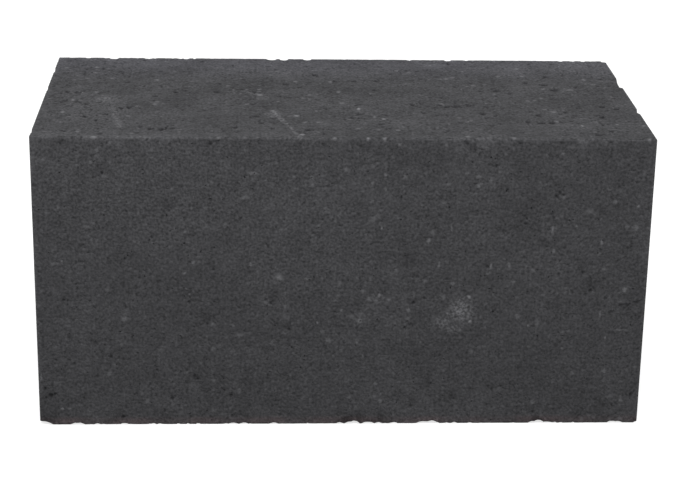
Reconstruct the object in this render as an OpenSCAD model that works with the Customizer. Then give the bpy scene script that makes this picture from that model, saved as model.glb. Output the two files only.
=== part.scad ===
// Solid walling block of charcoal dry-cast concrete, pressed as one piece in a steel mould.
// It stands on its bed with its middle over the origin: X runs along it, the show face is at -Y and Z is up.

/* [Block] */
// Length from end to end
block_l = 300; // [200:10:450]
// Depth from the show face to the back
block_d = 150; // [100:10:225]
// Height from bed to bed
block_h = 150; // [100:10:225]

/* [Edges] */
// Radius of the four upright edges, left by the corners of the mould
upright_r = 1; // [0.5:0.1:3]
// Radius round both beds, where the edge of the fresh concrete crumbles
bed_r = 0.8; // [0.4:0.1:2]

/* [Wear] */
// How large the chips on the edges are, beside those of the block as found
chip_size = 1; // [0.6:0.1:1.6]

/* [Hidden] */
$fn = 96;
charcoal = "#454548";

// Each row is one chip: its place, from -100 at one end of the edge to 100 at the other, its length along
// the edge, how far it runs on to the upright face, and how far it runs on to the bed.
lower_front_chips = [
    [-100, 14, 2.4, 4.4],
    [-87.5, 8, 1.4, 2.4],
    [-72, 5, 1, 1.8],
    [-36, 6, 1, 1.7],
    [-32.5, 5, 1, 1.9],
    [-22.5, 5, 1, 1.8],
    [-0.5, 4, 1, 1.9],
    [3, 6, 1.4, 3],
    [4.5, 5, 2, 4.2],
    [9, 7, 1.4, 2.4],
    [12.5, 4, 1, 1.9],
    [17.5, 5, 0.9, 1.5],
    [27.5, 8, 1.4, 2.8],
    [30.5, 6, 1.8, 3.6],
    [38, 3, 1, 1.8],
    [64.5, 5, 1.3, 2.6],
    [66.5, 6, 2, 3.7],
    [69.5, 7, 1, 1.8],
    [91.5, 6, 1.4, 2.4],
    [93.5, 5, 1.2, 2.1],
    [100, 4, 1.5, 1.6]
];
upper_front_chips = [[100, 5, 1.5, 1.5]];
upper_back_chips = [
    [-80, 5, 1.4, 3],
    [-67.5, 4, 1, 2.2],
    [-54, 4, 0.9, 1.9],
    [-23, 6, 1.4, 3],
    [-18.5, 5, 1.5, 3.3],
    [-10, 5, 1.2, 2.6],
    [41.5, 4, 1.2, 2.5],
    [100, 6, 1.5, 3]
];
upper_left_chips = [
    [64, 12, 2.2, 1.4],
    [14, 7, 2, 1.3],
    [-87, 8, 2, 1.3]
];
upper_right_chips = [
    [43, 15, 2.8, 1.7],
    [33, 14, 5, 3],
    [-34, 11, 3.6, 2.1]
];

// Rectangle about the origin with its corners rounded
module rounded_rectangle(width, height, radius) {
    square([width - 2 * radius, height], center = true);
    square([width, height - 2 * radius], center = true);
    for (x = [-1, 1], y = [-1, 1])
        translate([x * (width / 2 - radius), y * (height / 2 - radius)])
            circle(r = radius);
}

// Block as it leaves the mould: where its plan, its end view and its front view all meet
module pressed_body() {
    intersection() {
        linear_extrude(block_h)
            rounded_rectangle(block_l, block_d, upright_r);
        translate([-block_l / 2, 0, block_h / 2])
            rotate([90, 0, 90])
                linear_extrude(block_l)
                    rounded_rectangle(block_d, block_h, bed_r);
        translate([0, block_d / 2, block_h / 2])
            rotate([90, 0, 0])
                linear_extrude(block_d)
                    rounded_rectangle(block_l, block_h, bed_r);
    }
}

// Ball that scoops one chip out of an edge lying along X, with the block at +Y and +Z of that edge.
// It passes through both ends of the chip, and in the middle through the points that rise and reach give.
module scoop(length, rise, reach) {
    half = length / 2;
    up = (rise * rise - half * half) / (2 * rise);
    in = (reach * reach - half * half) / (2 * reach);
    translate([0, in, up])
        sphere(r = sqrt(half * half + up * up + in * in));
}

// All the chips of an edge of this length, which lies along X with its middle at the origin
module edge_chips(rows, edge) {
    for (row = rows)
        translate([row[0] / 100 * edge / 2, 0, 0])
            scoop(chip_size * row[1], chip_size * row[2], chip_size * row[3]);
}

module chips() {
    translate([0, -block_d / 2, 0])
        edge_chips(lower_front_chips, block_l);
    translate([0, -block_d / 2, block_h])
        mirror([0, 0, 1])
            edge_chips(upper_front_chips, block_l);
    translate([0, block_d / 2, block_h])
        rotate([180, 0, 0])
            edge_chips(upper_back_chips, block_l);
    for (side = [-1, 1])
        scale([side, 1, 1])
            translate([block_l / 2, 0, block_h])
                rotate([0, 0, 90])
                    mirror([0, 0, 1])
                        edge_chips(side > 0 ? upper_right_chips : upper_left_chips, block_d);
}

module block() {
    color(charcoal)
        difference() {
            pressed_body();
            chips();
        }
}

block();
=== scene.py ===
import math

import bpy
import numpy as np
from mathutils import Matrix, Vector


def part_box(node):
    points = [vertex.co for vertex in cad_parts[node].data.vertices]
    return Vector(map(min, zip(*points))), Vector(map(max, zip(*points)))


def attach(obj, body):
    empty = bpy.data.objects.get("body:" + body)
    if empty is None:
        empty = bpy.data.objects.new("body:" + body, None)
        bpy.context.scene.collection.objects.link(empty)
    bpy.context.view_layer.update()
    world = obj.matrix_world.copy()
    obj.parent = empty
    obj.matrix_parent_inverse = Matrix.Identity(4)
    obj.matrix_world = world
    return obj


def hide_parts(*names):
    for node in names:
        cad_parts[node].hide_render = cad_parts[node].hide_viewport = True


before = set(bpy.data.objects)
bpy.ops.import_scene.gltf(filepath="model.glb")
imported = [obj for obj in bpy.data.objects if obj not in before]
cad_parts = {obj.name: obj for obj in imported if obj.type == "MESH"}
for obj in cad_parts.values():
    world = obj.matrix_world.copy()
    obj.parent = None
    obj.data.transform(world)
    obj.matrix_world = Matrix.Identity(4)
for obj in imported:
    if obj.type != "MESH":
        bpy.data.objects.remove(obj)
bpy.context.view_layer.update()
mm = 0.001
low, high = (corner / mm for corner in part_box("block"))  # the block's corners in mm
middle = (low + high) / 2
half = (high - low) / 2


def linear(hexColour):
    channels = [int(hexColour[i:i + 2], 16) / 255 for i in (1, 3, 5)]
    return [c / 12.92 if c <= 0.04045 else ((c + 0.055) / 1.055) ** 2.4 for c in channels] + [1]


def addNode(tree, kind, links=None, **settings):
    # a node with its settings; links gives each input, by name or place, a value, a node or an output
    node = tree.nodes.new(kind)
    for name, value in settings.items():
        setattr(node, name, value)
    sockets = [socket for socket in node.inputs if socket.enabled]
    for key, value in (links or {}).items():
        socket = sockets[key] if isinstance(key, int) else next(s for s in sockets if s.name == key)
        if isinstance(value, bpy.types.Node):
            value = next(s for s in value.outputs if s.enabled)
        if isinstance(value, bpy.types.NodeSocket):
            tree.links.new(value, socket)
        else:
            socket.default_value = value
    return node


def calc(tree, operation, *values, **settings):
    return addNode(tree, "ShaderNodeMath", dict(enumerate(values)), operation=operation, **settings)


def vector(tree, operation, *values, **named):
    return addNode(tree, "ShaderNodeVectorMath", {**dict(enumerate(values)), **named}, operation=operation)


def remap(tree, value, start, end, toStart=0.0, toEnd=1.0):
    return addNode(tree, "ShaderNodeMapRange", {
        "Value": value, "From Min": start, "From Max": end, "To Min": toStart, "To Max": toEnd})


def fade(tree, value, here, gone, most=1.0):
    # most where the value is at here, falling smoothly to 0 where it is at gone
    return addNode(tree, "ShaderNodeMapRange", {
        "Value": value, "From Min": gone, "From Max": here, "To Max": most}, interpolation_type="SMOOTHSTEP")


def noise(tree, place, size, detail=2.0, roughness=0.5):
    return addNode(tree, "ShaderNodeTexNoise", {
        "Vector": place, "Scale": 1 / size, "Detail": detail, "Roughness": roughness})


def cells(tree, place, size):
    return addNode(tree, "ShaderNodeTexVoronoi", {"Vector": place, "Scale": 1 / size})


def split(tree, value):
    return addNode(tree, "ShaderNodeSeparateXYZ", {0: value}).outputs


def mix(tree, factor, a, b, **settings):
    return addNode(tree, "ShaderNodeMix", {"Factor": factor, "A": a, "B": b}, **settings)


def strongest(tree, values):
    result = values[0]
    for value in values[1:]:
        result = calc(tree, "MAXIMUM", result, value)
    return result


def spot(tree, place, centre, reach, most=1.0, core=0.0):
    # most within the core, a share of the reach, falling to 0 at its end; reach is in mm along x, y and z
    scale = Vector([1 / r for r in reach])
    near = vector(tree, "LENGTH", vector(tree, "MULTIPLY_ADD", place, scale, -centre * scale))
    return fade(tree, near, core, 1, most)


def stroke(tree, place, start, end, width, most=1.0):
    # like a spot, drawn out from start to end
    along = end - start
    fromStart = vector(tree, "SUBTRACT", place, start)
    share = calc(tree, "MULTIPLY", vector(tree, "DOT_PRODUCT", fromStart, along), 1 / along.length_squared,
                 use_clamp=True)
    aside = vector(tree, "SUBTRACT", fromStart, vector(tree, "SCALE", along, Scale=share))
    return fade(tree, vector(tree, "LENGTH", aside), 0, width, most)


# camera, where the photograph was taken from
cameraSettings = {
    "place": (-42.7, -958.9, 415.9),  # mm, from the middle of the block's bed
    "turn": (70.193, -1.241, -3.138),  # degrees: tipped down, leaning a little, swung to the right
    "lens": 101.71,  # mm, on a sensor 36 mm wide
    "shift": -0.04,  # of the picture's width, as the photograph is cropped
}


def makeCamera(settings):
    data = bpy.data.cameras.new("camera")
    data.lens = settings["lens"]
    data.sensor_width = 36
    data.shift_x = settings["shift"]
    camera = bpy.data.objects.new("camera", data)
    camera.location = Vector(settings["place"]) * mm
    camera.rotation_euler = [math.radians(angle) for angle in settings["turn"]]
    bpy.context.scene.collection.objects.link(camera)
    bpy.context.scene.camera = camera


makeCamera(cameraSettings)
print("camera placed")

# What sets this block apart, each mark at its own place in mm: x and z on the show face, x and y on the bed.
showFaceMarks = {
    "pits": [  # x, z, radius
        (-144, 16, 2.1), (-108.5, 4, 1.8), (-84, 14.5, 1.2), (-55, 16, 1.3), (-128, 15, 1),
        (-116, 132, 1.2), (104, 123, 1.2), (106, 121.5, 1), (87.5, 111, 1), (72.5, 136, 1.3),
        (78.5, 124, 1), (-127, 95, 1), (-106, 88.5, 1), (-94.5, 98, 1), (-63.5, 83, 1), (-114, 37, 1.3),
        (-91.5, 30, 1), (34.5, 65.5, 1.4), (44.5, 22, 1), (99, 95, 1), (117.5, 81.5, 1.4), (122, 72, 1.4),
        (119.5, 70, 1), (75, 19, 1.1), (96.5, 6.5, 1.2), (146, 16, 1.5), (83.5, 148, 1.5), (58, 147.5, 1.4),
        (-64.5, 147, 1.3), (-135.5, 147, 1.3), (127, 148.5, 1.3), (-147, 20, 1.4), (-142, 17, 1.2),
        (-146.5, 15, 1.2), (-100, 22.5, 0.9), (-97.5, 22.5, 0.8), (-95, 22.5, 0.9), (34.5, 53.5, 0.9),
        (30.5, 52.5, 0.9), (102.5, 121, 1.2), (27, 120, 1), (26.5, 93.5, 0.9), (-44.5, 124, 1),
        (-93, 99.5, 1), (-66.5, 54.5, 1), (-26.5, 51.5, 1.1), (88.5, 109.5, 0.9)],
    "lime": [  # x, z, reach across, reach up, strength
        (62, 68.5, 1.3, 1.5, 0.75), (62.8, 55.5, 1.7, 1.3, 0.75), (61.8, 58, 1, 2.2, 0.5),
        (51.5, 60, 1, 1, 0.6), (59, 57, 1, 1, 0.5), (54, 75.5, 2, 1.7, 0.34), (-31.5, 79, 3.2, 2.6, 0.48),
        (-18, 78, 1.7, 1.5, 0.35), (17.5, 69.5, 1.3, 1.5, 0.6), (12.5, 67.5, 1.9, 1.6, 0.3),
        (46.5, 85.5, 0.9, 2.6, 0.4), (-45.5, 85.5, 0.8, 2.2, 0.4), (72, 85, 0.9, 2.8, 0.45),
        (70.5, 81, 1.5, 1.1, 0.35), (81, 85, 1.2, 2.6, 0.35), (139, 72.5, 1.9, 1.9, 0.5),
        (92, 53.5, 0.9, 1, 0.5), (131, 47, 0.9, 1, 0.5), (126, 97, 1, 2.8, 0.45),
        (104.5, 142.5, 1.3, 1.3, 0.5), (19.5, 131.5, 1.7, 1.2, 0.45), (-107, 57, 2.6, 2.4, 0.3),
        (41, 98, 1.5, 2, 0.5), (-44.5, 132, 3.8, 1.4, 0.36), (-148.5, 26, 0.9, 2.8, 0.4),
        (-138.5, 9, 1.1, 1, 0.5), (-135, 9, 1, 1, 0.4), (127.5, 59.5, 0.8, 2.6, 0.35),
        (138, 51, 5, 0.8, 0.32), (105.5, 70.5, 1, 1, 0.35), (137.5, 66, 2.8, 0.9, 0.3),
        (40, 77, 2, 1.6, 0.28), (32, 61.5, 1.5, 2, 0.28), (86.5, 58, 2, 2.2, 0.34),
        (113, 105.5, 1.4, 1.4, 0.3), (119, 113, 2.8, 1.9, 0.24), (138, 105.5, 2, 1.6, 0.3),
        (142.5, 105, 2.2, 1.9, 0.38), (128, 83, 2, 1.6, 0.28), (8, 56, 2.2, 2, 0.45), (9, 59, 2.6, 2, 0.22),
        (-1, 61.5, 1.1, 1.2, 0.5), (-12.5, 55, 1, 1, 0.5), (-10, 50, 2, 1.6, 0.28),
        (-7, 45.5, 2, 1.8, 0.36), (-2, 76, 2, 1.6, 0.24), (9.5, 71.5, 2, 1.4, 0.26),
        (-4, 66.5, 2.6, 0.9, 0.24), (7, 44.5, 1, 1, 0.35), (-0.5, 40.5, 2, 1.6, 0.22),
        (34.5, 69.5, 1.8, 1.4, 0.22), (49.5, 68.5, 1.6, 2.2, 0.26), (16, 66.5, 1.8, 2, 0.28),
        (-136.5, 87, 1, 1, 0.5), (-48, 120, 3, 2, 0.22), (-30, 103.5, 3.6, 1.2, 0.2), (-75, 70, 1, 1, 0.5),
        (-77.5, 81, 1.1, 1, 0.35), (-50.5, 48.5, 3, 1.8, 0.25), (-115.5, 41.5, 2, 4.5, 0.2),
        (-96.5, 13, 2, 2, 0.28), (-29, 58.5, 2, 2, 0.22), (50, 127, 2.2, 1.2, 0.28),
        (64.5, 126, 1.3, 1.6, 0.32), (58.5, 132.5, 1.5, 1, 0.26), (52, 104.5, 0.8, 2.6, 0.45),
        (43, 102, 2.4, 2.2, 0.26), (101.5, 103.5, 1.2, 4, 0.42), (100.5, 99.5, 1.6, 1.6, 0.22),
        (143, 116, 1, 1.2, 0.5), (18, 104.5, 1.1, 1.3, 0.55), (14, 109, 2.2, 2, 0.25),
        (-8.5, 113, 3, 2, 0.24), (106, 120.5, 2, 1.4, 0.26)],
    "dust": [  # x, z, reach across, reach up, strength
        (58, 61.5, 10, 9.5, 0.6), (49, 54.5, 8.5, 5.5, 0.33), (54, 52, 6, 4.5, 0.26),
        (-31.5, 79, 6, 5, 0.12), (15, 67, 7, 6, 0.14), (8, 57, 6, 5, 0.14), (-95, 125, 85, 50, 0.07),
        (-20, 88, 60, 40, 0.05), (-40, 125, 60, 40, 0.04)],
}
upperBedMarks = {
    "pits": [  # x, y, radius
        (-133.5, 4.5, 2.4), (-139, 5, 1.7), (-109.5, 24.5, 2), (-84, 5.5, 2), (-106, -22.5, 2.2),
        (-110, -24, 1.8), (-88, -61, 2.8), (-93.5, -60, 2), (-83, -59.5, 1.8), (-117, -69.5, 1.8),
        (-98.5, -57.5, 1.6), (-63, 6, 2.2), (-27.5, 22.5, 2.2), (-40.5, -49.5, 1.8), (-11.5, 41.5, 2.2),
        (8.5, 29.5, 2), (20.5, 30, 2), (-17.5, -61, 2.2), (8.5, -33, 2.2), (18, -50.5, 1.8),
        (113, 14.5, 3.2), (108.5, 24, 2.4), (58, -17.5, 3), (53.5, -18, 1.7), (82, 11.5, 2.5),
        (80, 16, 1.8), (99, 28, 2), (62, 66.5, 1.8), (112, 40.5, 1.8), (102.5, -47, 2.4),
        (97.5, -47.5, 2.4), (91, -45.5, 1.8), (122.5, -67, 2.3), (129.5, -36, 2.2), (139, -21, 2.2),
        (132.5, -17.5, 2), (70, -31.5, 2.2), (140.5, 37, 1.8), (130, -61, 1.8), (-132, -13, 2.2),
        (-94, -2.5, 1.8), (-94, 47, 2), (-127, -39.5, 1.8), (-117, -35, 1.7), (-53, -57, 1.8),
        (-43, -38, 1.8), (36, -15, 1.8), (50, -15.5, 1.6), (64, -14.5, 1.6), (98, -34, 2), (50.5, 53.5, 2),
        (4.5, -39, 1.7), (18.5, 12, 1.7), (88, 6.5, 1.6), (-1.5, 29, 1.7)],
    "lime": [  # x, y, reach across, reach back, strength
        (8.5, -24, 1.4, 2.8, 0.7), (15.5, -38, 1.6, 2.6, 0.7), (20, -41.5, 1.4, 2.2, 0.5),
        (-23, -37, 1.9, 2.4, 0.6), (-21, -69.5, 2.4, 2.4, 0.6), (-41, 1, 2.4, 3.2, 0.5),
        (-34.5, -28.5, 1.6, 3, 0.55), (117, -52, 1.2, 2, 0.6), (-131.5, 4, 1.2, 2, 0.45),
        (-124.5, 5, 1.4, 2.2, 0.45), (-119, -6.5, 1.7, 3, 0.4), (-135, -10.5, 1.6, 2.4, 0.4),
        (-138, -32.5, 1.8, 2.2, 0.45), (-94.5, 29, 1.7, 3, 0.35), (-93.5, -17, 2.4, 4, 0.28),
        (107, 16.5, 1.6, 2.6, 0.5), (106.5, -27.5, 2.2, 2.4, 0.42), (120, 14.5, 3, 1.8, 0.3),
        (103.5, -1.5, 1.4, 2.2, 0.35), (63, -44, 1.4, 2.4, 0.4), (58.5, -71.5, 2.4, 2, 0.35),
        (80.5, -73.5, 2.4, 2, 0.38), (98, 57, 2, 3, 0.4), (-4, 27.5, 1.5, 2.6, 0.4),
        (-0.5, 7.5, 1.5, 2.6, 0.42), (-119.5, -74.5, 2.4, 2, 0.45), (-5.5, -75, 1.3, 1.6, 0.4),
        (10.5, -75, 1.3, 1.8, 0.65), (18.5, -75, 1.6, 1.6, 0.45), (146, -74.5, 1.4, 2, 0.4)],
    "dust": [  # x, y, reach across, reach back, strength
        (-118, -10, 11, 14, 0.28), (-34, -33, 5, 10, 0.28), (-40, -4, 6, 8, 0.15),
        (-122, -30, 42, 45, 0.08), (125, 60, 70, 26, 0.1)],
}
scratches = [  # on the upper bed, x and y of both ends, width and strength
    ((-50, 9), (-41, 1), 1.6, 0.34), ((-34.5, -28.5), (-32, -37.5), 2.3, 0.52),
    ((-32, -37.5), (-29, -49), 2, 0.38), ((-28, -51), (-23.5, -68), 1.6, 0.36),
    ((-23, -70), (-22, -75), 1.8, 0.45), ((-113, -33), (-108.5, -57), 3.4, 0.28),
    ((-118, -8), (-113, -30), 5, 0.16)]
cracks = [  # on the show face, x and z of both ends
    ((131.5, 60.5), (134, 61.5)), ((137, 64.5), (142.5, 65)), ((144, 66), (147, 67))]


def onShowFace(x, z):
    return Vector((x, low.y, z))


def onUpperBed(x, y):
    return Vector((x, y, high.z))


def markPits(tree, place):
    # 1 in the middle of each pit, with its radius, as pairs
    pits = [(onShowFace(x, z), radius, 0.0) for x, z, radius in showFaceMarks["pits"]]
    pits += [(onUpperBed(x, y), radius, 0.4) for x, y, radius in upperBedMarks["pits"]]
    return [(spot(tree, place, centre, [radius] * 3, core=core), radius) for centre, radius, core in pits]


def markStains(tree, place, kind, through=2.5):
    # lime or dust on both faces; it reaches some way through, so that a hollow in it is as pale
    spots = [spot(tree, place, onShowFace(x, z), (across, through, up), strength)
             for x, z, across, up, strength in showFaceMarks[kind]]
    spots += [spot(tree, place, onUpperBed(x, y), (across, back, through), strength)
              for x, y, across, back, strength in upperBedMarks[kind]]
    return strongest(tree, spots)


# the block's own mesh: the pressed shape first, then what handling and open grain do to it
blockSettings = {
    "cell": 15,  # mm, side of the first squares that the faces are cut into
    "splits": 24,  # cuts across each of those squares
    "triangles": 190000,  # kept at the end, most of them where the surface is rough
}

weather = {
    "undulation": {"size": 14, "depth": 0.12},  # mm, slow unevenness of every face
    # mm, open grain of the beds: sand, patches where it lies more open, and gaps where some is missing
    "bedSand": {"size": 1.8, "depth": 0.42, "patches": 22, "gapSize": 3, "gapDepth": 0.6},
    "bedCalm": {"reach": 8, "share": 0.25},  # mm; near an edge a bed is pressed closer, down to this share
    "bedPits": {"spacing": 9, "radius": 1.5},  # mm, trapped air in the beds
    "mouldPits": {"spacing": 12, "radius": 1.1},  # mm, in the faces that met the mould
    # mm, along the edges of the beds; some stretches crumble more, and the upper front edge hardly does
    "lostGrains": {"size": 2.4, "depth": 0.45, "share": 0.3, "reach": 2.4, "stretches": 30,
                   "upperFront": 0.15},
    "pitDepth": 0.6,  # of their radius, for the pits that set this block apart
    "pitShade": 0.85,  # painted shade, how dark those are at the bottom
    "hollowShade": {"from": 0.3, "to": 1.2, "most": 0.5},  # mm deep, and how dark the painted shade in the deepest hollows is
    "turnReach": 6,  # mm from an edge, where inward begins to turn from straight to diagonal
}


def pressBlock(settings):
    bpy.ops.object.select_all(action="DESELECT")
    bpy.ops.mesh.primitive_cube_add(size=1, location=middle * mm, scale=2 * half * mm)
    block = bpy.context.object
    block.name = block.data.name = "concreteBlock"
    bpy.ops.object.transform_apply(location=True, rotation=True, scale=True)
    bpy.ops.object.mode_set(mode="EDIT")
    bpy.ops.mesh.select_all(action="SELECT")
    # two cubes, so that the squares come out square
    bpy.ops.mesh.bisect(plane_co=middle * mm, plane_no=(1, 0, 0))
    bpy.ops.mesh.select_all(action="SELECT")
    bpy.ops.mesh.subdivide(number_cuts=round(2 * half.z / settings["cell"]) - 1)
    bpy.ops.mesh.subdivide(number_cuts=settings["splits"])
    bpy.ops.mesh.select_all(action="DESELECT")
    bpy.ops.object.mode_set(mode="OBJECT")
    return block


def fitToCad(block):
    fit = block.modifiers.new("chips and edges of the pressed shape", "SHRINKWRAP")
    fit.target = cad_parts["block"]
    fit.wrap_method = "NEAREST_SURFACEPOINT"
    bpy.ops.object.modifier_apply(modifier=fit.name)


def faceDepths(tree, fromMiddle):
    # mm from the nearest end, mm from the nearest edge, and 1 on the beds falling to 0 on the upright faces
    depths = vector(tree, "SUBTRACT", half, vector(tree, "ABSOLUTE", fromMiddle))
    fromEnd, fromFace, fromBed = split(tree, depths)
    upright = calc(tree, "MINIMUM", fromEnd, fromFace)
    other = calc(tree, "MINIMUM", calc(tree, "MAXIMUM", fromEnd, fromFace), fromBed)
    onBed = fade(tree, calc(tree, "SUBTRACT", fromBed, upright), -0.1, 0.4)
    return fromEnd, calc(tree, "MAXIMUM", upright, other), onBed


def bedSand(tree, place, fromEnd, settings):
    # the open grain of a bed: its sand, 1 on top of each grain and 0 between, the gaps, and how open it lies
    grains = cells(tree, place, settings["size"])
    dome = fade(tree, grains.outputs["Distance"], 0.15, 0.8)
    sand = calc(tree, "MULTIPLY", dome, remap(tree, split(tree, grains.outputs["Color"])[0], 0, 1, 0.35, 1))
    patch = noise(tree, place, settings["patches"], 1)
    openness = calc(tree, "ADD", remap(tree, patch, 0.35, 0.65, 0.5, 0.9), fade(tree, fromEnd, 10, 55, 0.12))
    gaps = remap(tree, noise(tree, place, settings["gapSize"], 1), 0.58, 0.7)
    return sand, calc(tree, "MULTIPLY", gaps, openness), openness


def airPits(tree, place, spacing, radius):
    near = calc(tree, "MULTIPLY", cells(tree, place, spacing).outputs["Distance"], spacing)
    return calc(tree, "MAXIMUM", calc(tree, "SUBTRACT", radius, near), 0.0)


def bedHollows(tree, place, fromEnd, edge, settings):
    # mm that the open grain and the trapped air of a bed lie below it
    bed = settings["bedSand"]
    sand, gaps, openness = bedSand(tree, place, fromEnd, bed)
    between = calc(tree, "MULTIPLY", calc(tree, "SUBTRACT", 1.0, sand), openness)
    grain = calc(tree, "ADD", calc(tree, "MULTIPLY", between, bed["depth"]),
                 calc(tree, "MULTIPLY", gaps, bed["gapDepth"]))
    calm = remap(tree, edge, 0, settings["bedCalm"]["reach"], settings["bedCalm"]["share"], 1)
    return calc(tree, "MULTIPLY", calc(tree, "ADD", grain, airPits(tree, place, **settings["bedPits"])), calm)


def edgeHollows(tree, place, fromMiddle, edge, settings):
    # mm that grains lost along the edges of the beds leave behind
    grains = cells(tree, place, settings["size"])
    stretch = remap(tree, noise(tree, place, settings["stretches"], 1), 0.35, 0.65, 0.3, 1.3)
    chance = split(tree, grains.outputs["Color"])[0]
    gone = calc(tree, "LESS_THAN", chance, calc(tree, "MULTIPLY", stretch, settings["share"]))
    dome = fade(tree, grains.outputs["Distance"], 0.2, 0.7)
    back, up = split(tree, fromMiddle)[1:]
    fromBed = calc(tree, "SUBTRACT", half.z, calc(tree, "ABSOLUTE", up))
    near = calc(tree, "MULTIPLY", fade(tree, edge, 0.3, settings["reach"]), fade(tree, fromBed, 1.5, 3))
    front = calc(tree, "LESS_THAN", back, 0.0)
    upperFront = calc(tree, "MULTIPLY", front, calc(tree, "GREATER_THAN", up, 0.0))
    loose = calc(tree, "MULTIPLY_ADD", upperFront, settings["upperFront"] - 1, 1.0)
    return calc(tree, "MULTIPLY", calc(tree, "MULTIPLY", gone, calc(tree, "MULTIPLY", dome, loose)),
                calc(tree, "MULTIPLY", near, settings["depth"]))


def inward(tree, fromMiddle, reach):
    # straight in from a face, and turning to the diagonal within reach of an edge
    core = half - Vector([reach] * 3)
    nearest = vector(tree, "MINIMUM", vector(tree, "MAXIMUM", fromMiddle, -core), core)
    return vector(tree, "NORMALIZE", vector(tree, "SUBTRACT", nearest, fromMiddle))


def weatherTree(settings):
    tree = bpy.data.node_groups.new("weathering", "GeometryNodeTree")
    for way in ("INPUT", "OUTPUT"):
        tree.interface.new_socket("Geometry", in_out=way, socket_type="NodeSocketGeometry")
    start = addNode(tree, "NodeGroupInput")
    end = addNode(tree, "NodeGroupOutput")

    place = vector(tree, "SCALE", addNode(tree, "GeometryNodeInputPosition"), Scale=1 / mm)
    fromMiddle = vector(tree, "SUBTRACT", place, middle)
    fromEnd, edge, onBed = faceDepths(tree, fromMiddle)
    mouldHollow = airPits(tree, place, **settings["mouldPits"])
    bedHollow = bedHollows(tree, place, fromEnd, edge, settings)
    ownPits = markPits(tree, place)
    ownHollow = strongest(tree, [calc(tree, "MULTIPLY", pit, radius * settings["pitDepth"])
                                 for pit, radius in ownPits])
    edgeHollow = edgeHollows(tree, place, fromMiddle, edge, settings["lostGrains"])
    hollow = calc(tree, "ADD", mix(tree, onBed, mouldHollow, bedHollow),
                  calc(tree, "ADD", edgeHollow, ownHollow))
    # painted shade in the marked pits and in the deeper hollows, stored as dark for the colour
    paintedPitShade = calc(tree, "MULTIPLY", strongest(tree, [pit for pit, radius in ownPits]), settings["pitShade"])
    shade = settings["hollowShade"]
    dark = calc(tree, "MAXIMUM", paintedPitShade, remap(tree, hollow, shade["from"], shade["to"], 0, shade["most"]))
    marked = addNode(tree, "GeometryNodeStoreNamedAttribute", {
        "Geometry": start.outputs["Geometry"], "Name": "dark", "Value": dark}, data_type="FLOAT")

    slow = settings["undulation"]
    slowHollow = calc(tree, "MULTIPLY", noise(tree, place, slow["size"]), slow["depth"])
    sunk = calc(tree, "MULTIPLY", calc(tree, "ADD", hollow, slowHollow), mm)
    moved = addNode(tree, "GeometryNodeSetPosition", {
        "Geometry": marked,
        "Offset": vector(tree, "SCALE", inward(tree, fromMiddle, settings["turnReach"]), Scale=sunk)})
    tree.links.new(moved.outputs["Geometry"], end.inputs["Geometry"])
    return tree


def weatherBlock(block, settings):
    wear = block.modifiers.new("weathering", "NODES")
    wear.node_group = weatherTree(settings)
    bpy.ops.object.modifier_apply(modifier=wear.name)


def thinOut(block, triangles):
    corners = len(block.data.loops)
    thin = block.modifiers.new("fewer triangles where it is flat", "DECIMATE")
    thin.ratio = triangles / (corners - 2 * len(block.data.polygons))
    bpy.ops.object.modifier_apply(modifier=thin.name)


# Flat layout of the block's skin on one square, for a picture of its colour: the axis that a face looks along
# and to which side, the axes along the square's width and height, where the face starts there, and its scale.
bakeLayout = {
    "square": 450,  # mm, side
    "margin": 0.01,  # of a face, left free round it
    "faces": [
        {"axis": 1, "side": -1, "width": 2, "height": 0, "corner": (0, 150), "scale": 1},
        {"axis": 2, "side": 1, "width": 1, "height": 0, "corner": (150, 150), "scale": 1},
        {"axis": 1, "side": 1, "width": 2, "height": 0, "corner": (300, 150), "scale": 1},
        {"axis": 2, "side": -1, "width": 0, "height": 1, "corner": (0, 0), "scale": 0.75},
        {"axis": 0, "side": -1, "width": 1, "height": 2, "corner": (225, 0), "scale": 0.75},
        {"axis": 0, "side": 1, "width": 1, "height": 2, "corner": (337.5, 0), "scale": 0.75},
    ],
}


def layOut(block, settings):
    mesh = block.data
    places = np.empty(3 * len(mesh.vertices))
    mesh.vertices.foreach_get("co", places)
    corners = np.empty(len(mesh.loops), int)
    mesh.loops.foreach_get("vertex_index", corners)
    counts = np.empty(len(mesh.polygons), int)
    mesh.polygons.foreach_get("loop_total", counts)
    centres = np.empty(3 * len(mesh.polygons))
    mesh.polygons.foreach_get("center", centres)

    def fromMiddle(points):  # -1 to 1 across the block
        return (points.reshape(-1, 3) / mm - np.array(middle)) / np.array(half)

    looking = fromMiddle(centres)
    axes = np.abs(looking).argmax(axis=1)
    sides = np.sign(looking[np.arange(len(axes)), axes])
    spread = fromMiddle(places)[corners]
    uv = np.zeros((len(corners), 2))
    for face in settings["faces"]:
        mine = np.repeat((axes == face["axis"]) & (sides == face["side"]), counts)
        for k, axis in enumerate((face["width"], face["height"])):
            share = (1 + spread[mine, axis] * (1 - settings["margin"])) / 2
            uv[mine, k] = face["corner"][k] + share * 2 * half[axis] * face["scale"]
    layer = mesh.uv_layers.new(name="OFBake")
    layer.uv.foreach_set("vector", (uv / settings["square"]).astype(np.float32).ravel())


block = pressBlock(blockSettings)
fitToCad(block)
print("block pressed and fitted to the solid:", len(block.data.polygons), "faces")
weatherBlock(block, weather)
print("block weathered")
thinOut(block, blockSettings["triangles"])
bpy.ops.object.shade_smooth()
layOut(block, bakeLayout)
print("block thinned out:", len(block.data.polygons), "faces")

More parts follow.
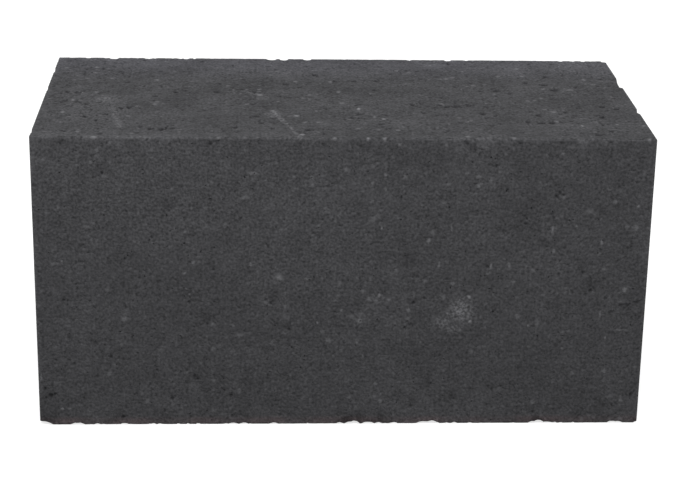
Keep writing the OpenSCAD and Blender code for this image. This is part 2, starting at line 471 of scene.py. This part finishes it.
# Dry-cast concrete coloured through with black pigment: cement paste and sand with no shine, about 0.9 rough.
# The sand shows as fine pale and dark grains, and trapped air as darker pores. Sizes are in mm.
concrete = {
    "paste": "#474749",
    "grain": {"size": 1.25, "contrast": 0.72},  # coarser than the finest sand, because a pixel is 0.5 mm
    "sand": {"size": 2.2, "contrast": 0.3},  # whole grains, each with its own tone
    "mottle": {"size": 6, "contrast": 0.18},
    "cloud": {"size": 30, "contrast": 0.14},
    # tone of the beds beside the upright faces, what sand and gaps add to it, and their mottle and cloud
    "bed": {"tone": 0.84, "between": 0.18, "grain": 0.18, "gap": 0.24, "bright": 0.3,
            "mottle": 0.24, "cloud": 0.34},
    "paintedFalloff": {"from": 25, "to": 135, "low": 0.96, "high": 1.02},  # painted shade: upright faces are a little darker low down, where less light reaches them
    "footLightAndStain": {"tint": (0.31, 0.13, 0.12), "full": 2.5, "reach": 5.5, "patches": 18},  # painted light bounced from the floor makes the foot pale, and a stain makes it a little warm
    # painted light from behind: paler and a little bluer along the back of the upper bed
    "paintedBackLight": {"tint": (0.94, 0.93, 1.09), "full": 5, "reach": 54, "strength": 0.38},
    "edgeHighlight": {"full": 0.5, "reach": 2.5, "strength": 0.12},  # painted highlight, paler along every edge
    "ragged": {"scale": 0.9, "reach": 1.6},  # per mm and in mm, what makes round marks irregular
    "lime": "#8b8b8e",  # lime that has come out of the paste
    "specks": {"spacing": 3.2, "radius": 1.4, "share": 0.085, "patches": 24, "strength": 0.28},  # paler sand
    # dark of the pores and cracks, and of the painted shade in pits and hollows
    "poreAndShade": "#161618",
    "pores": {"spacing": 2.1, "radius": 0.6, "share": 0.16, "patches": 16},
    "crack": {"width": 0.9, "strength": 0.6},
    # bottoms of the upper bed's pits, where no light gets: the least radius of such a pit, how far the bottom
    # reaches across and back as shares of the pit's radius, and how far through
    "holes": {"least": 1.8, "across": 0.8, "back": 1.1, "through": 3, "strength": 0.8, "core": 0.2},
    "bump": {"height": 0.35, "grains": 0.4},  # of the fine grain, and the share of it that whole grains add
    "roughness": 0.92,
    "specular": 0.12,  # an open, sandy skin gives back hardly any sheen
}


def around(tree, value, contrast):
    # 1 on average; the noise's usual reach of 0.3 to 0.7 becomes the contrast
    return calc(tree, "MULTIPLY_ADD", calc(tree, "MULTIPLY_ADD", value, 2.5, -1.25), contrast, 1.0)


def strewn(tree, uneven, flat, spacing, radius, share, patches, strength=1.0):
    # strength in the middle of a spot; the spots keep to some patches of the face
    draws = cells(tree, uneven, spacing)
    first, second, third = split(tree, draws.outputs["Color"])
    limit = remap(tree, noise(tree, flat, patches, 1), 0.35, 0.65, 0.2 * share, 2 * share)
    size = remap(tree, second, 0, 1, 0.5, 1.2)
    near = calc(tree, "DIVIDE", draws.outputs["Distance"], calc(tree, "MULTIPLY", size, radius / spacing))
    here = calc(tree, "LESS_THAN", first, limit)
    weight = remap(tree, third, 0, 1, 0.3 * strength, strength)
    return calc(tree, "MULTIPLY", calc(tree, "MULTIPLY", here, weight), fade(tree, near, 0.3, 1.2))


def beforeWeather(tree, place, onBed):
    # the place on the pressed block, where a point of a bed lay before it weathered
    x, y, z = split(tree, place)
    bedHeight = calc(tree, "MULTIPLY", calc(tree, "GREATER_THAN", z, middle.z), high.z)
    return addNode(tree, "ShaderNodeCombineXYZ", {0: x, 1: y, 2: mix(tree, onBed, z, bedHeight)})


def raggedPlace(tree, flat, scale, reach):
    ripple = addNode(tree, "ShaderNodeTexNoise", {"Vector": flat, "Scale": scale, "Detail": 1.0})
    aside = vector(tree, "SUBTRACT", ripple.outputs["Color"], (0.5, 0.5, 0.5))
    return vector(tree, "MULTIPLY_ADD", aside, [reach] * 3, flat)


def sandOnFaces(tree, flat, settings):
    # the fine grain, the tone that it and the whole grains give, and the domes of those grains
    grain = noise(tree, flat, settings["grain"]["size"], 2, 0.6)
    contrast = settings["sand"]["contrast"]
    grains = cells(tree, flat, settings["sand"]["size"])
    dome = fade(tree, grains.outputs["Distance"], 0.1, 0.75)
    each = remap(tree, split(tree, grains.outputs["Color"])[0], 0, 1, -contrast, contrast)
    fine = around(tree, grain, settings["grain"]["contrast"])
    return grain, calc(tree, "ADD", fine, calc(tree, "MULTIPLY", each, dome)), dome


def sandOnBeds(tree, flat, fromEnd, bed):
    # what the open grain adds to the tone of a bed
    sand, gaps, openness = bedSand(tree, flat, fromEnd, weather["bedSand"])
    light = calc(tree, "MULTIPLY", remap(tree, sand, 0, 1, -bed["between"], bed["grain"]), openness)
    light = calc(tree, "SUBTRACT", light, calc(tree, "MULTIPLY", gaps, bed["gap"]))
    return calc(tree, "MULTIPLY_ADD", calc(tree, "POWER", sand, 5.0), bed["bright"], light)


def toneOfFaces(tree, tone, flat, height, onBed, settings):
    # the slow changes: mottle, cloud, and painted shade that makes the upright faces darker low down, or the
    # tone of the beds
    bed = settings["bed"]
    for name in ("mottle", "cloud"):
        patch = noise(tree, flat, settings[name]["size"])
        contrast = mix(tree, onBed, settings[name]["contrast"], bed[name])
        tone = calc(tree, "MULTIPLY", tone, around(tree, patch, contrast))
    paintedFalloff = settings["paintedFalloff"]
    shadeLowDown = remap(tree, height, paintedFalloff["from"], paintedFalloff["to"], paintedFalloff["low"], paintedFalloff["high"])
    return calc(tree, "MULTIPLY", tone, mix(tree, onBed, shadeLowDown, bed["tone"]))


def edgeColours(tree, colour, place, flat, edge, onBed, settings):
    # the colour, with painted light: paler along the back of the upper bed, a painted highlight on the edges,
    # and painted light from the floor with a warm stain along the foot
    y, z = split(tree, place)[1:]
    backLight = settings["paintedBackLight"]
    # painted light along the back of the upper bed
    pale = calc(tree, "MULTIPLY",
                fade(tree, calc(tree, "SUBTRACT", high.y, y), backLight["full"], backLight["reach"], backLight["strength"]),
                calc(tree, "MULTIPLY", onBed, calc(tree, "GREATER_THAN", z, middle.z)))
    colour = vector(tree, "MULTIPLY_ADD", colour, vector(tree, "SCALE", backLight["tint"], Scale=pale), colour)
    highlight = settings["edgeHighlight"]
    highlighted = calc(tree, "ADD", 1.0, fade(tree, edge, highlight["full"], highlight["reach"], highlight["strength"]))
    colour = vector(tree, "SCALE", colour, Scale=highlighted)
    footLightAndStain = settings["footLightAndStain"]
    patches = remap(tree, noise(tree, flat, footLightAndStain["patches"], 1), 0.4, 0.6, 0.5, 1.3)
    bounceAndStain = calc(tree, "MULTIPLY", fade(tree, z, footLightAndStain["full"], footLightAndStain["reach"]), patches)
    return vector(tree, "MULTIPLY_ADD", colour, vector(tree, "SCALE", footLightAndStain["tint"], Scale=bounceAndStain), colour)


def paleMarks(tree, uneven, flat, grain, settings):
    # lime, dust and scratches; dust and scratches show on the tops of the sand more than between it
    granular = remap(tree, grain, 0.42, 0.6, 0.2, 1)
    dust = calc(tree, "MULTIPLY", markStains(tree, uneven, "dust"), granular)
    scratch = strongest(tree, [stroke(tree, uneven, onUpperBed(*a), onUpperBed(*b), width, strength)
                               for a, b, width, strength in scratches])
    return strongest(tree, [
        strewn(tree, uneven, flat, **settings["specks"]), dust, calc(tree, "MULTIPLY", scratch, granular),
        markStains(tree, uneven, "lime")])


def darkMarks(tree, uneven, settings):
    # the cracks, painted shade at the bottoms of the upper bed's larger pits, and the painted shade of pits
    # and hollows that the weathering has stored
    crack = settings["crack"]
    lines = [stroke(tree, uneven, onShowFace(*a), onShowFace(*b), crack["width"], crack["strength"])
             for a, b in cracks]
    hole = settings["holes"]
    bottoms = []
    for x, y, radius in upperBedMarks["pits"]:
        if radius >= hole["least"]:
            reach = (hole["across"] * radius, hole["back"] * radius, hole["through"])
            bottoms.append(spot(tree, uneven, onUpperBed(x, y), reach, hole["strength"], hole["core"]))
    storedShade = addNode(tree, "ShaderNodeAttribute", {}, attribute_name="dark")
    return strongest(tree, [*lines, *bottoms, storedShade.outputs["Fac"]])


def concreteMaterial(settings):
    material = bpy.data.materials.new("charcoalDryCastConcrete")
    material.use_nodes = True
    tree = material.node_tree
    tree.nodes.clear()

    coordinates = addNode(tree, "ShaderNodeTexCoord")
    place = vector(tree, "SCALE", coordinates.outputs["Object"], Scale=1 / mm)
    fromEnd, edge, onBed = faceDepths(tree, vector(tree, "SUBTRACT", place, middle))
    flat = beforeWeather(tree, place, onBed)
    uneven = raggedPlace(tree, flat, **settings["ragged"])

    grain, tone, dome = sandOnFaces(tree, flat, settings)
    tone = calc(tree, "MULTIPLY_ADD", sandOnBeds(tree, flat, fromEnd, settings["bed"]), onBed, tone)
    tone = toneOfFaces(tree, tone, flat, split(tree, place)[2], onBed, settings)
    colour = vector(tree, "SCALE", linear(settings["paste"])[:3], Scale=tone)
    # painted light along the back of the upper bed, on the edges and at the foot
    colour = edgeColours(tree, colour, place, flat, edge, onBed, settings)
    pale = paleMarks(tree, uneven, flat, grain, settings)
    colour = mix(tree, pale, colour, linear(settings["lime"]), data_type="RGBA")
    pores = strewn(tree, uneven, flat, **settings["pores"])
    # pores, cracks and the painted shade of pits and hollows take the dark colour
    dark = strongest(tree, [pores, darkMarks(tree, uneven, settings)])
    colour = mix(tree, dark, colour, linear(settings["poreAndShade"]), data_type="RGBA")

    relief = settings["bump"]
    height = calc(tree, "ADD", grain, calc(tree, "MULTIPLY", dome, relief["grains"]))
    height = calc(tree, "SUBTRACT", height, pores)
    bump = addNode(tree, "ShaderNodeBump", {"Height": height, "Distance": relief["height"] * mm})
    shader = addNode(tree, "ShaderNodeBsdfPrincipled", {
        "Base Color": colour, "Normal": bump,
        "Roughness": settings["roughness"], "Specular IOR Level": settings["specular"]})
    addNode(tree, "ShaderNodeOutputMaterial", {"Surface": shader})
    return material


block.data.materials.clear()
block.data.materials.append(concreteMaterial(concrete))
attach(block, "root")
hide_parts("block")
print("concrete finished")

# plain pale studio: a white floor that keeps the shadow, soft lamps above and at both sides, and an even sky
studio = {
    "floorSize": 30,  # m
    "floorGlow": 0.7,  # how much of the floor's white the camera sees whatever falls on it
    "floorTone": "#bcbcbc",  # the rest, which takes the shadow
    "floorBounce": {"tone": "#484848", "glow": 0.19},  # what the block gets back from it, even in its shadow
    "sky": 0.55,
    "lamps": {  # m and W; each looks at the middle of the block
        "overhead": {"place": (-0.05, -0.55, 0.95), "size": 0.7, "power": 7.3},
        "left": {"place": (-1.0, 0.05, 0.35), "size": 0.6, "power": 4.3},
        "right": {"place": (1.0, 0.05, 0.35), "size": 0.6, "power": 2.5},
    },
}


def seenRays(tree):
    # 1 for rays from the camera, straight or by a reflection or glass, and 0 for those that light things
    rays = addNode(tree, "ShaderNodeLightPath").outputs
    return strongest(tree, [rays[name] for name in ("Is Camera Ray", "Is Glossy Ray", "Is Transmission Ray")])


def makeFloor(settings):
    bpy.ops.mesh.primitive_plane_add(size=settings["floorSize"], location=(0, 0, 0))
    floor = bpy.context.object
    floor.name = "floor"
    material = bpy.data.materials.new("paleFloor")
    material.use_nodes = True
    tree = material.node_tree
    tree.nodes.clear()
    glow = addNode(tree, "ShaderNodeEmission", {"Strength": settings["floorGlow"]})
    seen = addNode(tree, "ShaderNodeAddShader", {
        0: glow, 1: addNode(tree, "ShaderNodeBsdfDiffuse", {"Color": linear(settings["floorTone"])})})
    bounce = settings["floorBounce"]
    unseen = addNode(tree, "ShaderNodeAddShader", {
        0: addNode(tree, "ShaderNodeEmission", {"Strength": bounce["glow"]}),
        1: addNode(tree, "ShaderNodeBsdfDiffuse", {"Color": linear(bounce["tone"])})})
    shader = addNode(tree, "ShaderNodeMixShader", {0: seenRays(tree), 1: unseen, 2: seen})
    addNode(tree, "ShaderNodeOutputMaterial", {"Surface": shader})
    floor.data.materials.append(material)


def makeLamp(name, place, size, power):
    data = bpy.data.lights.new(name, "AREA")
    data.energy = power
    data.size = size
    lamp = bpy.data.objects.new(name, data)
    lamp.location = place
    lamp.rotation_euler = (Vector(place) - middle * mm).to_track_quat("Z", "Y").to_euler()
    lamp.visible_camera = False
    bpy.context.scene.collection.objects.link(lamp)


def makeSky(settings):
    world = bpy.data.worlds.new("evenSky")
    bpy.context.scene.world = world
    world.use_nodes = True
    tree = world.node_tree
    tree.nodes.clear()
    strength = remap(tree, seenRays(tree), 0, 1, settings["sky"], 1)
    sky = addNode(tree, "ShaderNodeBackground", {"Color": (1, 1, 1, 1), "Strength": strength})
    addNode(tree, "ShaderNodeOutputWorld", {"Surface": sky})


makeFloor(studio)
for name, lamp in studio["lamps"].items():
    makeLamp(name + "Lamp", **lamp)
makeSky(studio)
bpy.context.scene.view_settings.view_transform = "Standard"
print("studio lit")
